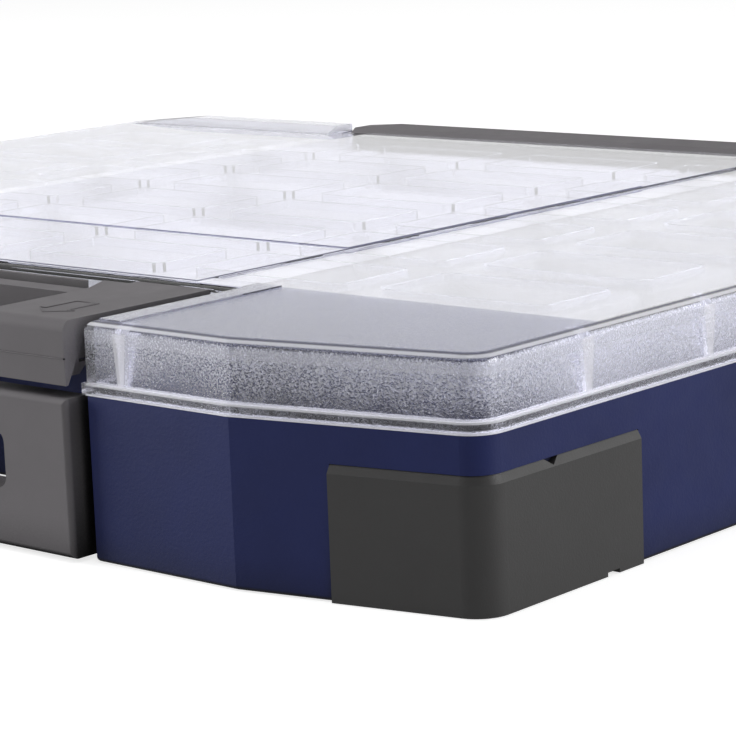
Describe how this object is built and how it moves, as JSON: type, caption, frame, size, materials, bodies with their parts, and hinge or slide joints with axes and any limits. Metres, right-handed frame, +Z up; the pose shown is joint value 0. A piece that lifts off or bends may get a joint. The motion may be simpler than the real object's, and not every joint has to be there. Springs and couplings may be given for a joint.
{
  "type": "assortment case",
  "caption": "Flat carry case for small parts: navy tray with lift-out bins, clear hinged lid, grey sliding latch, grip bar and corner guards.",
  "frame": {"origin": "middle of the underside of the case, on the surface that it stands on", "axes": "+X along the front to the right, +Y from the handle to the hinge, +Z up"},
  "size_m": [0.413, 0.33, 0.0599],
  "materials": {
    "navy_plastic": "fine grained moulded polypropylene",
    "clear_plastic": "clear polycarbonate, frosted at the front",
    "grey_plastic": "satin moulded plastic",
    "guard_plastic": "matt moulded plastic",
    "insert_plastic": "pale translucent polypropylene",
    "steel": "plain"
  },
  "bodies": {
    "case": {"base_tray": "navy_plastic", "corner_guard_front_left": "guard_plastic", "corner_guard_front_right": "guard_plastic", "corner_guard_rear_left": "guard_plastic", "corner_guard_rear_right": "guard_plastic", "hinge_block": "grey_plastic", "hinge_pin": "steel", "hinge_screws": "steel", "handle_grip": "grey_plastic", "grip_screws": "steel", "insert_small_left_1": "insert_plastic", "insert_small_right_1": "insert_plastic", "insert_small_left_2": "insert_plastic", "insert_small_right_2": "insert_plastic", "insert_small_left_3": "insert_plastic", "insert_small_right_3": "insert_plastic", "insert_small_left_4": "insert_plastic", "insert_small_right_4": "insert_plastic", "insert_small_left_5": "insert_plastic", "insert_small_right_5": "insert_plastic", "insert_small_left_6": "insert_plastic", "insert_small_right_6": "insert_plastic", "insert_medium_left_1": "insert_plastic", "insert_medium_right_1": "insert_plastic", "insert_medium_left_2": "insert_plastic", "insert_medium_right_2": "insert_plastic", "insert_medium_left_3": "insert_plastic", "insert_medium_right_3": "insert_plastic", "insert_large_1": "insert_plastic", "insert_large_2": "insert_plastic", "insert_large_3": "insert_plastic"},
    "lid": {"lid_shell": "clear_plastic", "hinge_cover": "grey_plastic", "latch_cover": "grey_plastic", "cover_pins": "grey_plastic", "release_springs": "steel"},
    "release": {"latch_release": "grey_plastic"}
  },
  "joints": [
    {"name": "lid_hinge", "type": "hinge", "parent": "case", "child": "lid", "pos_m": [0, 0.161, 0.038], "axis": [-1, 0, 0], "range_deg": [0, 110]},
    {"name": "release_slide", "type": "slide", "parent": "lid", "child": "release", "axis": [0, -1, 0], "range_m": [0, 0.003], "stiffness_N_per_m": 400, "springref_m": -0.005, "deforming": ["release_springs"]}
  ]
}
